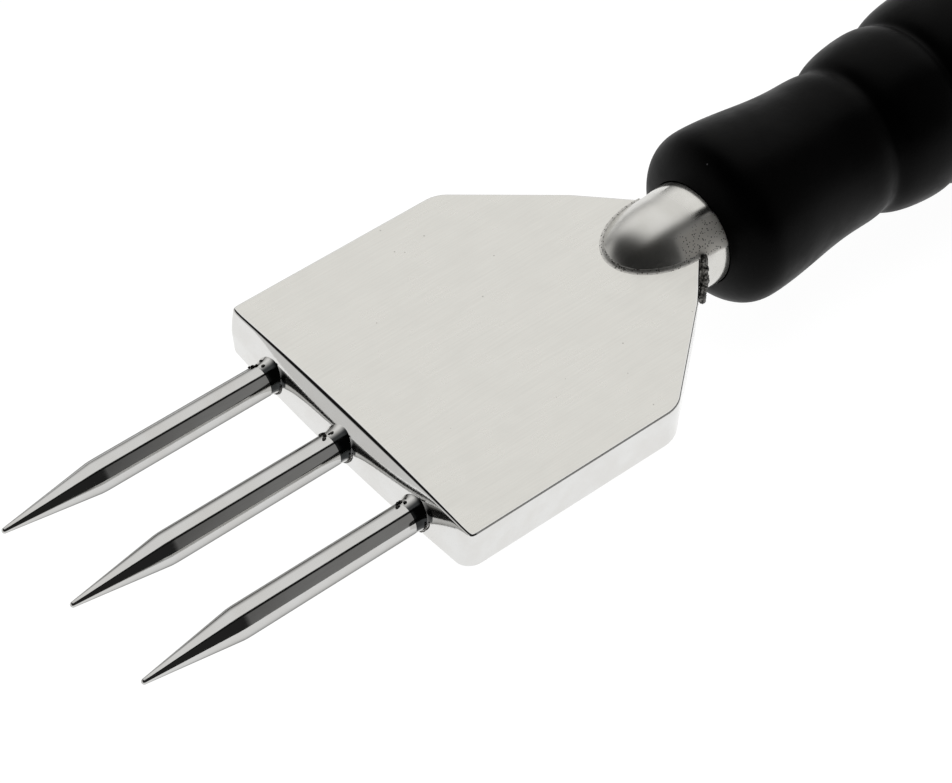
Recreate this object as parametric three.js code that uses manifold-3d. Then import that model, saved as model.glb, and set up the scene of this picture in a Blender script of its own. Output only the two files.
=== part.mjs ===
// Three-tine ice pick: a flat steel head with three pointed tines, carried by a turned
// shank whose tang runs through a ridged handle to a lock nut under the butt cap.
//
// Millimetres, +Z up. The tool lies flat: +X runs from the handle to the tine tips, +Y is
// the tool's left, and the head's broad face looks up. Inside the tool group, x = 0 is the
// plane of the head's front corners and the X axis is the tool's own centre line.

import * as THREE from 'three';
import { mergeVertices } from 'three/addons/utils/BufferGeometryUtils.js';
import Module from 'manifold-3d';

const wasm = await Module();
wasm.setup();

// ---- Driving dimensions ----------------------------------------------------------------

// Head plate
const plateWidth = 45;
const plateThickness = 6.5;
const sideLength = 31.7;        // straight sides, front corner to shoulder corner
const shoulderLength = 19.5;    // taper from the shoulder corners to the plate's rear end
const rearWidth = 12.4;         // plate width at its rear end
const frontCrown = 1.1;         // how far the middle of the front edge stands forward
const frontHollow = 0.45;       // how far the top front edge is ground back at mid-width
const frontBevelDrop = 2.75;    // height of the ground part of the front face
const cornerRound = 1.3;        // radius of the upright corners
const lowerEdgeRound = 1.0;     // radius of the polished lower edges

// Tines
const tineDiameter = 4.1;
const tineLength = 38.8;        // front corners to tip
const tineConeLength = 12.9;
const tineTipRadius = 0.35;
const tineRootDepth = 12;       // length held in the plate
const tinePitch = 13.5;
const tineDrop = 0.3;           // tine centre line below the plate's mid-plane

// Weld collars at the tine roots
const weldLegAlong = 0.8;
const weldLegAcross = 0.9;
const weldLip = 0.15;           // upright rim and wall left at the collar's thin edges

// Shank: forked bullet nose, neck, seat and tang in one bar
const noseDiameter = 13.5;
const noseLength = 10.4;        // rounded part of the nose
const noseCentre = -50;         // station where the rounding reaches full size
const neckDiameter = 14;
const mouthStation = -54.2;     // where the neck enters the handle
const seatDepth = 5;            // neck length held inside the handle
const tangDiameter = 8;
const threadDepth = 0.4;        // tang surface down to the thread's mean radius
const threadLength = 16;
const threadOverhang = 1.5;     // thread standing out behind the nut

// Handle
const handleLength = 113;
const bellLength = 26.8;        // front swelling and thumb waist together
const bellRise = 5.2;           // length of the rounded front
const bellSpring = 4.3;         // radius the rounded front's quarter ellipse springs from
const bellDiameter = 23.7;
const waistDiameter = 20.9;
const waistStation = -75.7;
const rimLength = 3.4;          // waist end rounding down into the first groove
const ridgeLength = 11.3;
const ridgeCount = 3;
const firstRidgeDiameter = 23.6;
const ridgeStep = 2.4;          // growth in diameter from one ridge to the next
const grooveDepth = 2.2;
const ridgeFullness = 2.4;      // 2 is an elliptical crest, more is squarer
const palmDiameter = 29.6;
const buttDiameter = 24.5;
const palmRise = 0.16;          // share of the palm's length spent rising from the groove
const palmCrownShift = 0.8;     // below 1 moves the widest place forward

// Core, washer, nut and cap inside the handle
const coreFrontDiameter = 16.4;
const coreFrontLength = 8;
const coreDiameter = 13.4;
const coreRearDiameter = 21.5;
const pocketDiameter = 17.6;
const pocketLead = 4;           // pocket floor ahead of the last ridge's rear end
const coreStepLead = 4;         // wide rear part of the core starts ahead of the pocket
const washerThickness = 1.6;
const nutAcrossFlats = 13;
const nutHeight = 7.5;
const capFlange = 4.5;          // domed length behind the grip
const capPlugLength = 5;
const capPlugWall = 2;
const capRim = 1.2;             // upright edge of the cap beside the grip

// Clearances
const fitGap = 0.3;             // moulded, bonded and pressed joints
const seatGap = 0.3;            // faces that bear on each other

// Roundness of turned surfaces
const turnedSegments = 48;
const smallSegments = 24;
const frontSteps = 12;          // facets along the crowned front edge
const cornerSteps = 4;

// ---- Derived stations ------------------------------------------------------------------

const tineRadius = tineDiameter / 2;
const neckRadius = neckDiameter / 2;
const noseRadius = noseDiameter / 2;
const tangRadius = tangDiameter / 2;
const threadRadius = tangRadius - threadDepth;
const plateTop = plateThickness / 2;
const plateRear = -(sideLength + shoulderLength);
const slotFloor = plateRear - seatGap;
const seatEnd = mouthStation - seatDepth;
const buttStation = mouthStation - handleLength;
const gripEnd = buttStation + capFlange;
const coreEnd = gripEnd;
const ridgesFront = mouthStation - bellLength;
const ridgesRear = ridgesFront - ridgeCount * ridgeLength;
const pocketFloor = ridgesRear + pocketLead;
const washerRear = pocketFloor - seatGap - washerThickness;
const nutRear = washerRear - seatGap - nutHeight;
const tangEnd = nutRear - threadOverhang;
const lastGrooveRadius = ridgeRadius(ridgeCount) - grooveDepth;

// ---- Materials -------------------------------------------------------------------------

function metal(name, color, roughness) {
  return new THREE.MeshStandardMaterial({ name, color, roughness, metalness: 1 });
}

function plastic(name, color, roughness) {
  return new THREE.MeshStandardMaterial({ name, color, roughness, metalness: 0 });
}

const satinSteel = metal('satin_steel', 0xc9c8c3, 0.34);
const polishedSteel = metal('polished_steel', 0xd4d4d2, 0.12);
const weldSteel = metal('weld_steel', 0x4a4742, 0.6);
const zincSteel = metal('zinc_steel', 0xb4b8ba, 0.4);
const gripRubber = plastic('grip_rubber', 0x0d0d0e, 0.62);
const corePlastic = plastic('core_plastic', 0x1d1e20, 0.5);

// ---- Solids ----------------------------------------------------------------------------

// A closed three.js geometry as a solid that can be cut and joined.
function solidOf(geometry) {
  const bare = geometry.clone();
  bare.deleteAttribute('normal');
  bare.deleteAttribute('uv');
  const merged = mergeVertices(bare, 1e-4);
  return new wasm.Manifold(new wasm.Mesh({
    numProp: 3,
    vertProperties: Float32Array.from(merged.attributes.position.array),
    triVerts: Uint32Array.from(realTriangles(merged.index.array)),
  }));
}

// Turned shapes have empty triangles on the axis, which a solid can't hold.
function realTriangles(index) {
  const kept = [];
  for (let first = 0; first < index.length; first += 3) {
    const [a, b, c] = index.slice(first, first + 3);
    if (a !== b && b !== c && c !== a) kept.push(a, b, c);
  }
  return kept;
}

function geometryOf(solid) {
  const mesh = solid.getMesh();
  const geometry = new THREE.BufferGeometry();
  geometry.setAttribute('position', new THREE.BufferAttribute(mesh.vertProperties, 3));
  geometry.setIndex(new THREE.BufferAttribute(mesh.triVerts, 1));
  geometry.computeVertexNormals();
  return geometry;
}

// A body turned about the X axis from [station, radius] points, written from the low station
// to the high one along the outside so that the faces point out. The outline starts and ends
// on the axis, or closes on itself where the body has a bore.
function turned(outline, segments = turnedSegments) {
  const points = outline.map(([station, radius]) => new THREE.Vector2(radius, station));
  return new THREE.LatheGeometry(points, segments).rotateZ(-Math.PI / 2);
}

// A plain round bar, or a ring where it has an inner radius.
function ring(front, rear, innerRadius, outerRadius, segments) {
  return turned([
    [rear, innerRadius],
    [rear, outerRadius],
    [front, outerRadius],
    [front, innerRadius],
    [rear, innerRadius],
  ], segments);
}

function block(low, high) {
  const size = high.map((value, axis) => value - low[axis]);
  const middle = high.map((value, axis) => (value + low[axis]) / 2);
  return new THREE.BoxGeometry(...size).translate(...middle);
}

// ---- Head plate ------------------------------------------------------------------------

// How far the front face stands forward of the corners, at a distance y off the middle.
function frontStation(y) {
  const across = y / (plateWidth / 2 - cornerRound);
  return frontCrown * (1 - across * across);
}

// Plan of the plate, front edge towards +X: four rounded corners and a square rear end.
function plateOutline() {
  const half = plateWidth / 2;
  const rearHalf = rearWidth / 2;
  const shape = new THREE.Shape();
  shape.moveTo(plateRear, -rearHalf);
  roundCorner(shape, [plateRear, -rearHalf], [-sideLength, -half], [0, -half]);
  roundCorner(shape, [-sideLength, -half], [0, -half], [0, half]);
  const frontHalf = half - cornerRound;
  for (let step = 1; step < frontSteps; step += 1) {
    const y = -frontHalf + 2 * frontHalf * step / frontSteps;
    shape.lineTo(frontStation(y), y);
  }
  roundCorner(shape, [0, -half], [0, half], [-sideLength, half]);
  roundCorner(shape, [0, half], [-sideLength, half], [plateRear, rearHalf]);
  shape.lineTo(plateRear, rearHalf);
  return shape;
}

// Adds an arc that rounds the corner between two straight edges of an outline.
function roundCorner(shape, before, corner, after) {
  const here = new THREE.Vector2(...corner);
  const back = new THREE.Vector2(...before).sub(here).normalize();
  const ahead = new THREE.Vector2(...after).sub(here).normalize();
  const halfAngle = Math.acos(back.dot(ahead)) / 2;
  const centreDistance = cornerRound / Math.sin(halfAngle);
  const centre = back.clone().add(ahead).normalize().multiplyScalar(centreDistance).add(here);
  const middle = here.clone().sub(centre).angle();
  const sweep = Math.PI / 2 - halfAngle;
  for (let step = 0; step <= cornerSteps; step += 1) {
    const turn = middle + sweep * (2 * step / cornerSteps - 1);
    shape.lineTo(centre.x + cornerRound * Math.cos(turn), centre.y + cornerRound * Math.sin(turn));
  }
}

// Wedge that grinds the upper front face back, most at the middle of the edge.
function frontGrinder() {
  const over = 1;
  const ahead = plateThickness;
  const half = plateWidth / 2 + over;
  const plan = new THREE.Shape();
  plan.moveTo(ahead, -half);
  plan.lineTo(ahead, half);
  plan.lineTo(0, half);
  plan.quadraticCurveTo(-2 * frontHollow, 0, 0, -half);
  const lean = (frontCrown + frontHollow) / frontBevelDrop;
  const wedge = new THREE.ExtrudeGeometry(plan, {
    depth: frontBevelDrop + over,
    bevelEnabled: false,
    curveSegments: frontSteps,
  });
  wedge.translate(0, 0, plateTop - frontBevelDrop);
  // x grows as z falls below the top face
  const shear = new THREE.Matrix4().set(
    1, 0, -lean, lean * plateTop,
    0, 1, 0, 0,
    0, 0, 1, 0,
    0, 0, 0, 1,
  );
  return wedge.applyMatrix4(shear);
}

function tineStations() {
  return [
    { side: 'left', y: tinePitch },
    { side: 'middle', y: 0 },
    { side: 'right', y: -tinePitch },
  ];
}

function headPlate() {
  const slab = new THREE.ExtrudeGeometry(plateOutline(), {
    depth: plateThickness,
    bevelEnabled: true,
    bevelThickness: lowerEdgeRound,
    bevelSize: lowerEdgeRound,
    bevelOffset: -lowerEdgeRound,
    bevelSegments: 4,
  });
  slab.translate(0, 0, -plateTop + lowerEdgeRound);
  const reach = 2 * plateWidth;
  const above = block([-reach, -reach, plateTop], [reach, reach, plateTop + reach]);
  let solid = solidOf(slab).subtract(solidOf(above)).subtract(solidOf(frontGrinder()));
  for (const { y } of tineStations()) {
    const hole = turned([
      [-tineRootDepth - seatGap, 0],
      [-tineRootDepth - seatGap, tineRadius + fitGap],
      [plateWidth, tineRadius + fitGap],
      [plateWidth, 0],
    ], smallSegments);
    hole.translate(0, y, -tineDrop);
    solid = solid.subtract(solidOf(hole));
  }
  return geometryOf(solid);
}

// ---- Tines and their welds -------------------------------------------------------------

function tine() {
  const coneStart = tineLength - tineConeLength;
  const outline = [
    [-tineRootDepth, 0],
    [-tineRootDepth, tineRadius],
    [coneStart, tineRadius],
  ];
  const tipSteps = 4;
  const lean = Math.atan2(tineRadius - tineTipRadius, tineConeLength - tineTipRadius);
  for (let step = 0; step <= tipSteps; step += 1) {
    const turn = lean + (Math.PI / 2 - lean) * step / tipSteps;
    const station = tineLength - tineTipRadius + tineTipRadius * Math.sin(turn);
    const radius = step === tipSteps ? 0 : tineTipRadius * Math.cos(turn);
    outline.push([station, radius]);
  }
  return turned(outline, smallSegments);
}

// Concave fillet between the front face and a tine.
function weldCollar(y) {
  const bore = tineRadius + fitGap / 2;
  const rear = frontStation(y) + fitGap;
  const outline = [[rear, bore], [rear, bore + weldLip + weldLegAcross]];
  const steps = 4;
  for (let step = 0; step <= steps; step += 1) {
    const turn = (Math.PI / 2) * step / steps;
    outline.push([
      rear + weldLip + weldLegAlong * (1 - Math.cos(turn)),
      bore + weldLip + weldLegAcross * (1 - Math.sin(turn)),
    ]);
  }
  outline.push([rear + weldLip + weldLegAlong, bore]);
  outline.push([rear, bore]);
  return turned(outline, smallSegments);
}

// ---- Shank -----------------------------------------------------------------------------

// Turned bar: elliptical nose, neck flaring to the mouth, seat, tang and threaded end, with
// a slot across the nose that takes the rear of the plate.
function shank() {
  const outline = [
    [tangEnd, 0],
    [tangEnd, threadRadius],
    [tangEnd + threadLength, threadRadius],
    [tangEnd + threadLength, tangRadius],
    [seatEnd, tangRadius],
    [seatEnd, neckRadius],
    [mouthStation, neckRadius],
    [noseCentre, noseRadius],
  ];
  const steps = 9;
  for (let step = 1; step <= steps; step += 1) {
    const turn = (Math.PI / 2) * step / steps;
    const radius = step === steps ? 0 : noseRadius * Math.cos(turn);
    outline.push([noseCentre + noseLength * Math.sin(turn), radius]);
  }
  const reach = 2 * neckRadius;
  const slotHalf = plateTop + fitGap / 2;
  const slot = block([slotFloor, -reach, -slotHalf], [0, reach, slotHalf]);
  return geometryOf(solidOf(turned(outline)).subtract(solidOf(slot)));
}

// ---- Handle ----------------------------------------------------------------------------

function ridgeRadius(index) {
  return (firstRidgeDiameter + index * ridgeStep) / 2;
}

// One rounded ridge from groove to groove, as [station, radius] points from front to rear.
function ridgePoints(index) {
  const front = ridgesFront - index * ridgeLength;
  const steps = 8;
  const points = [];
  for (let step = 1; step <= steps; step += 1) {
    const along = step / steps;
    const crest = Math.sqrt(1 - Math.pow(Math.abs(2 * along - 1), ridgeFullness));
    const foot = ridgeRadius(index) - grooveDepth + along * ridgeStep / 2;
    points.push([front - along * ridgeLength, foot + crest * (grooveDepth - ridgeStep / 4)]);
  }
  return points;
}

// Outside of the grip from the mouth to the butt.
function gripOutside() {
  const points = [];
  const bellRadius = bellDiameter / 2;
  const waistRadius = waistDiameter / 2;
  const bellTop = mouthStation - bellRise;
  const mouthRadius = coreFrontDiameter / 2 + fitGap;
  const riseSteps = 7;
  const startTurn = Math.asin((mouthRadius - bellSpring) / (bellRadius - bellSpring));
  for (let step = 0; step <= riseSteps; step += 1) {
    const turn = startTurn + (Math.PI / 2 - startTurn) * step / riseSteps;
    points.push([
      bellTop + bellRise * Math.cos(turn),
      bellSpring + (bellRadius - bellSpring) * Math.sin(turn),
    ]);
  }
  const waistSteps = 6;
  for (let step = 1; step <= waistSteps; step += 1) {
    const along = step / waistSteps;
    const fall = (1 - Math.cos(Math.PI * along)) / 2;
    points.push([
      bellTop + (waistStation - bellTop) * along,
      bellRadius + (waistRadius - bellRadius) * fall,
    ]);
  }
  const rimSteps = 4;
  const rimDrop = waistRadius - (ridgeRadius(0) - grooveDepth);
  for (let step = 0; step <= rimSteps; step += 1) {
    const along = step / rimSteps;
    points.push([
      ridgesFront + rimLength * (1 - along),
      waistRadius - rimDrop + rimDrop * Math.sqrt(1 - along * along),
    ]);
  }
  for (let index = 0; index < ridgeCount; index += 1) {
    points.push(...ridgePoints(index));
  }
  return points.concat(palmPoints());
}

// Palm swell: rises out of the last groove and draws in to the butt cap.
function palmPoints() {
  const points = [];
  const steps = 12;
  const length = ridgesRear - gripEnd;
  const base = ridgeRadius(ridgeCount - 1);
  const swell = palmDiameter / 2 - (base + buttDiameter / 2) / 2;
  for (let step = 1; step <= steps; step += 1) {
    const along = step / steps;
    const lift = Math.sqrt(1 - Math.pow(1 - Math.min(along / palmRise, 1), 2));
    const crown = Math.sin(Math.PI * Math.pow(along, palmCrownShift));
    const target = base + (buttDiameter / 2 - base) * along + swell * crown;
    points.push([
      ridgesRear - along * length,
      lastGrooveRadius + (target - lastGrooveRadius) * lift,
    ]);
  }
  return points;
}

// Outside of the core, front to rear, grown by clearance for the bore of the grip.
function coreOutside(clearance) {
  const rearStep = pocketFloor + coreStepLead;
  return [
    [mouthStation - coreFrontLength - clearance, coreFrontDiameter / 2 + clearance],
    [mouthStation - coreFrontLength - clearance, coreDiameter / 2 + clearance],
    [rearStep + clearance, coreDiameter / 2 + clearance],
    [rearStep + clearance, coreRearDiameter / 2 + clearance],
  ];
}

function grip() {
  const outside = gripOutside();
  const [mouth] = outside;
  const bore = coreOutside(fitGap);
  const outline = [
    ...outside.slice().reverse(),
    [mouth[0], bore[0][1]],
    ...bore,
    [gripEnd, coreRearDiameter / 2 + fitGap],
    outside[outside.length - 1],
  ];
  return turned(dropRepeats(outline));
}

// Neighbouring points that coincide would leave the turned surface with empty facets.
function dropRepeats(outline) {
  return outline.filter(([station, radius], index) => {
    if (index === 0) return true;
    const [lastStation, lastRadius] = outline[index - 1];
    return Math.hypot(station - lastStation, radius - lastRadius) > 1e-3;
  });
}

function handleCore() {
  const front = mouthStation - seatGap / 2;
  const outside = coreOutside(0);
  const outline = [
    [coreEnd, pocketDiameter / 2],
    [coreEnd, coreRearDiameter / 2],
    ...outside.slice().reverse(),
    [front, coreFrontDiameter / 2],
    [front, neckRadius + fitGap],
    [seatEnd - seatGap, neckRadius + fitGap],
    [seatEnd - seatGap, tangRadius + fitGap],
    [pocketFloor, tangRadius + fitGap],
    [pocketFloor, pocketDiameter / 2],
    [coreEnd, pocketDiameter / 2],
  ];
  return turned(outline);
}

function washer() {
  const front = pocketFloor - seatGap;
  return ring(front, washerRear, tangRadius + fitGap, pocketDiameter / 2 - fitGap);
}

// Hexagon nut with its corners turned off.
function lockNut() {
  const front = washerRear - seatGap;
  const faceRadius = nutAcrossFlats / 2;
  const cornerRadius = nutAcrossFlats / Math.sqrt(3);
  const hexagon = new THREE.CylinderGeometry(cornerRadius, cornerRadius, nutHeight, 6);
  hexagon.rotateZ(Math.PI / 2);
  hexagon.translate((front + nutRear) / 2, 0, 0);
  const chamfer = (cornerRadius - faceRadius) / 2;
  const over = 0.1;
  const barrel = turned([
    [nutRear - over, 0],
    [nutRear - over, faceRadius],
    [nutRear + chamfer, cornerRadius + over],
    [front - chamfer, cornerRadius + over],
    [front + over, faceRadius],
    [front + over, 0],
  ]);
  const bore = ring(front + over, nutRear - over, 0, threadRadius + fitGap, smallSegments);
  return geometryOf(solidOf(hexagon).intersect(solidOf(barrel)).subtract(solidOf(bore)));
}

// Domed cap closing the butt, with a hollow plug that presses into the core's pocket.
function buttCap() {
  const flangeFront = gripEnd - seatGap;
  const plugFront = flangeFront + capPlugLength;
  const plugRadius = pocketDiameter / 2 - fitGap;
  const flangeRadius = buttDiameter / 2;
  const domeFront = flangeFront - capRim;
  const outline = [];
  const steps = 8;
  for (let step = 0; step <= steps; step += 1) {
    const turn = (Math.PI / 2) * step / steps;
    outline.push([
      domeFront - (domeFront - buttStation) * Math.cos(turn),
      flangeRadius * Math.sin(turn),
    ]);
  }
  outline.push([flangeFront, flangeRadius]);
  outline.push([flangeFront, plugRadius]);
  outline.push([plugFront, plugRadius]);
  outline.push([plugFront, plugRadius - capPlugWall]);
  outline.push([flangeFront, plugRadius - capPlugWall]);
  outline.push([flangeFront, 0]);
  return turned(outline);
}

// ---- Assembly --------------------------------------------------------------------------

const tool = new THREE.Group();

function add(name, geometry, material) {
  const mesh = new THREE.Mesh(geometry, material.clone());
  mesh.name = name;
  tool.add(mesh);
  return mesh;
}

add('head_plate', headPlate(), satinSteel);
for (const { side, y } of tineStations()) {
  add(`tine_${side}`, tine(), polishedSteel).position.set(0, y, -tineDrop);
  add(`weld_${side}`, weldCollar(y), weldSteel).position.set(0, y, -tineDrop);
}
add('shank', shank(), polishedSteel);
add('handle_core', handleCore(), corePlastic);
add('grip', grip(), gripRubber);
add('washer', washer(), zincSteel);
add('lock_nut', lockNut(), zincSteel);
add('butt_cap', buttCap(), corePlastic);

// The origin is the middle of the tool's footprint, level with the lowest point of the grip.
const gripRadius = Math.max(...gripOutside().map(([, radius]) => radius));
tool.position.set(-(tineLength + buttStation) / 2, 0, gripRadius);

const icePick = new THREE.Group();
icePick.add(tool);

export default icePick;
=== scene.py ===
import math
import random

import bmesh
import bpy
from mathutils import Matrix, Vector


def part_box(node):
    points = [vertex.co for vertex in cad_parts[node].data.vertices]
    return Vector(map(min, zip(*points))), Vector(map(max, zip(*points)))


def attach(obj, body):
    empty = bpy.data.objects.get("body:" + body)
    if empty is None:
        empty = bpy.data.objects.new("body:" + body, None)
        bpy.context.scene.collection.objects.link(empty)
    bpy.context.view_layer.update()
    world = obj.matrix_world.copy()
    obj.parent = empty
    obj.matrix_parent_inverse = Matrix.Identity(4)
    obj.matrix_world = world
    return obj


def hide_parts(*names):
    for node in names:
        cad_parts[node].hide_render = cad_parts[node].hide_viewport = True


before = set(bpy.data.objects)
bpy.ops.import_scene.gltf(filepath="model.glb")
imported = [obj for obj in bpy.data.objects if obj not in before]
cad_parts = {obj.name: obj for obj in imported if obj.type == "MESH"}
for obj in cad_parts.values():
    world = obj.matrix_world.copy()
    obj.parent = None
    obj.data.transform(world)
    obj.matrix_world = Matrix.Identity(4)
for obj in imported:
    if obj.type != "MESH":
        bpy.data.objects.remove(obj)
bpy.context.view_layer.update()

MM = 0.001

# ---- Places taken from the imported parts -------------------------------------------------

plate_low, plate_high = (Vector(corner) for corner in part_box("head_plate"))
shank_low, shank_high = (Vector(corner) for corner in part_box("shank"))
grip_low, grip_high = (Vector(corner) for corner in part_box("grip"))
cap_low, cap_high = (Vector(corner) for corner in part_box("butt_cap"))
core_low, core_high = (Vector(corner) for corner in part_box("handle_core"))

axis_height = (shank_low.z + shank_high.z) / 2
front_crown = 1.1 * MM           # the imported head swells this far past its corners
corner_line = plate_high.x - front_crown      # the front corners' station
core_recess = 0.15 * MM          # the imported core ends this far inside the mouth
mouth = core_high.x + core_recess             # the neck enters the handle here
neck_radius = (shank_high.z - shank_low.z) / 2


# ---- Bench: selecting, adding and shaping ----------------------------------------------

def clear_selection():
    if bpy.context.object and bpy.context.object.mode != "OBJECT":
        bpy.ops.object.mode_set(mode="OBJECT")
    bpy.ops.object.select_all(action="DESELECT")


def start_editing(name):
    """Names the primitive just added, puts its place into its mesh and opens it for shaping."""
    piece = bpy.context.object
    piece.name = name
    piece.data.name = name
    bpy.ops.object.transform_apply(location=True, rotation=True, scale=True)
    bpy.ops.object.mode_set(mode="EDIT")
    return piece


def copy_piece(piece, name, aside):
    """A copy with its own mesh, moved sideways inside that mesh."""
    clear_selection()
    piece.select_set(True)
    bpy.context.view_layer.objects.active = piece
    bpy.ops.object.duplicate(linked=False)
    copied = bpy.context.object
    copied.name = name
    copied.data.name = name
    bpy.ops.transform.translate(value=(0, aside, 0))
    bpy.ops.object.transform_apply(location=True, rotation=True, scale=True)
    clear_selection()
    return copied


def pick(kind, test):
    """Selects the vertices, edges or faces that pass the test."""
    bpy.ops.mesh.select_mode(type=kind)
    bpy.ops.mesh.select_all(action="DESELECT")
    mesh = bmesh.from_edit_mesh(bpy.context.edit_object.data)
    choice = {"VERT": mesh.verts, "EDGE": mesh.edges, "FACE": mesh.faces}[kind]
    for item in choice:
        if test(item):
            item.select_set(True)
    bmesh.update_edit_mesh(bpy.context.edit_object.data)


def near(first, second, slack=0.02 * MM):
    return abs(first - second) < slack


def cut(point, normal):
    """Cuts what is selected along a plane."""
    bpy.ops.mesh.bisect(plane_co=point, plane_no=normal)


def reshape(shift_at):
    """Moves each vertex by what shift_at says for its place."""
    mesh = bmesh.from_edit_mesh(bpy.context.edit_object.data)
    shifts = [(vert.index, shift_at(vert.co.copy())) for vert in mesh.verts]
    bpy.ops.mesh.select_mode(type="VERT")
    for index, shift in shifts:
        if shift is None or shift.length < 0.001 * MM:
            continue
        bpy.ops.mesh.select_all(action="DESELECT")
        mesh = bmesh.from_edit_mesh(bpy.context.edit_object.data)
        mesh.verts.ensure_lookup_table()
        mesh.verts[index].select_set(True)
        bmesh.update_edit_mesh(bpy.context.edit_object.data)
        bpy.ops.transform.translate(value=shift)


def roughen(distance, seed):
    """Moves every vertex up to that far in any direction."""
    bpy.ops.mesh.select_mode(type="VERT")
    bpy.ops.mesh.select_all(action="SELECT")
    bpy.ops.transform.vertex_random(offset=distance, uniform=1.0, normal=0.0, seed=seed)


def finish_piece(smooth_angle):
    """Closes the mesh up, turns its faces outwards and smooths all but its sharp edges."""
    bpy.ops.object.mode_set(mode="EDIT")
    bpy.ops.mesh.select_mode(type="VERT")
    bpy.ops.mesh.select_all(action="SELECT")
    bpy.ops.mesh.remove_doubles(threshold=0.0005 * MM)
    bpy.ops.mesh.normals_make_consistent(inside=False)
    bpy.ops.object.mode_set(mode="OBJECT")
    bpy.ops.object.shade_smooth_by_angle(angle=math.radians(smooth_angle))
    clear_selection()


def even_normals(piece):
    """Keeps broad flat faces flat beside their rounded edges."""
    bpy.context.view_layer.objects.active = piece
    piece.select_set(True)
    piece.modifiers.new("even normals", "WEIGHTED_NORMAL").keep_sharp = True
    bpy.ops.object.modifier_apply(modifier="even normals")
    clear_selection()


def turn(name, profile, centre_y=0.0, centre_z=None, sides=96, bored=False):
    """A piece turned about the tool's axis: a disc or ring extruded from station to station.

    profile is (station, radius) points in metres. A bored piece closes on its first ring."""
    centre_z = axis_height if centre_z is None else centre_z
    clear_selection()
    station, radius = profile[0]
    bpy.ops.mesh.primitive_circle_add(
        vertices=sides, radius=radius, fill_type="NOTHING" if bored else "NGON",
        location=(station, centre_y, centre_z), rotation=(0, math.pi / 2, 0))
    piece = start_editing(name)
    bpy.ops.mesh.select_mode(type="EDGE" if bored else "FACE")
    bpy.ops.mesh.select_all(action="SELECT")
    for next_station, next_radius in profile[1:] + (profile[:1] if bored else []):
        bpy.ops.mesh.extrude_region_move(
            TRANSFORM_OT_translate={"value": (next_station - station, 0, 0)})
        scale = next_radius / radius
        bpy.ops.transform.resize(
            value=(1, scale, scale), center_override=(next_station, centre_y, centre_z))
        station, radius = next_station, next_radius
    return piece


def arc(steps, first=0.0, last=90.0):
    """Angles in radians from first to last degrees."""
    return [math.radians(first + (last - first) * step / steps) for step in range(steps + 1)]


# ---- Head plate ------------------------------------------------------------------------

side_length = 31.7 * MM
shoulder_length = 19.5 * MM
shoulder_round = 1.4 * MM
bend_length = 44.8 * MM         # the shoulders steepen this far behind the front corners
bend_half_width = 11.85 * MM
plate_half_width = plate_high.y
plate_thickness = plate_high.z - plate_low.z
rear_half_width = 5.5 * MM
rear_drift = -0.4 * MM          # the shoulders are ground a little off centre
bend_drift = rear_drift * 0.7
lower_rim_round = 0.95 * MM
upper_rim_round = 0.28 * MM
corner_round = 2.0 * MM
corner_squareness = 4.8         # how square the upright corners are at the top
soft_below = 1.0 * MM           # the corners are plain rounds up to here
chin = 0.45 * MM                # the lower front stands this far ahead of the corner line
chin_lean = 0.15 * MM           # more of it towards one side, less towards the other
corner_roll = 0.3 * MM          # setback of the top edge at the front corners
middle_roll = 1.05 * MM         # and how much further at mid-width
belly_rise = 0.6 * MM
roll_power = 1.7                # the roll steepens gently and stops at a crisp edge
roll_drop = 3.3 * MM            # height of the rolled part of the front face
front_depth = 2.5 * MM          # how far back the front is cut into a grid
front_columns = 24
front_rows = 14
first_row = 16                  # degrees of the quarter turn that spaces the rows


def front_face_offset(y, z):
    """How far the front face stands ahead of the corner line: rolled back to its top edge,
    upright below, and swelling towards mid-width."""
    across = min(abs(y) / (plate_half_width - corner_round), 1.0)
    belly = 1.0 - across * across
    ahead = chin - chin_lean * y / plate_half_width
    climb = max(1.0 - (plate_high.z - z) / roll_drop, 0.0)
    setback = ahead + corner_roll + middle_roll * belly
    return ahead + belly_rise * belly - setback * climb ** roll_power


def front_shift(spot):
    """Where a vertex of the plain front goes: on the belly and roll, round squarer corners."""
    slack = 0.01 * MM
    if spot.x < corner_line - corner_round - slack:
        return None
    ahead = max(spot.x - (corner_line - corner_round), 0.0)
    aside = max(abs(spot.y) - (plate_half_width - corner_round), 0.0)
    reach = math.hypot(ahead, aside)
    if reach < slack:
        return None
    height = (spot.z - plate_low.z - soft_below) / (plate_thickness - soft_below)
    power = 2 / (2 + (corner_squareness - 2) * min(max(height, 0.0), 1.0))
    facing = ahead / reach
    forward = reach * facing ** power - ahead
    outward = reach * (aside / reach) ** power - aside
    forward += front_face_offset(spot.y, spot.z) * facing * facing
    return Vector((forward, math.copysign(outward, spot.y), 0))


def is_upright_corner(edge, station):
    """Whether the edge stands upright on one of the head's sides, at this station."""
    start, end = (vert.co for vert in edge.verts)
    return (abs((start - end).normalized().z) > 0.99 and near(start.x, station)
            and near(abs(start.y), plate_half_width))


def is_rim(edge, level):
    """Whether the edge runs round the broad face at this height."""
    return (all(near(vert.co.z, level) for vert in edge.verts)
            and len(edge.link_faces) == 2 and edge.calc_face_angle() > 0.6)


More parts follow.
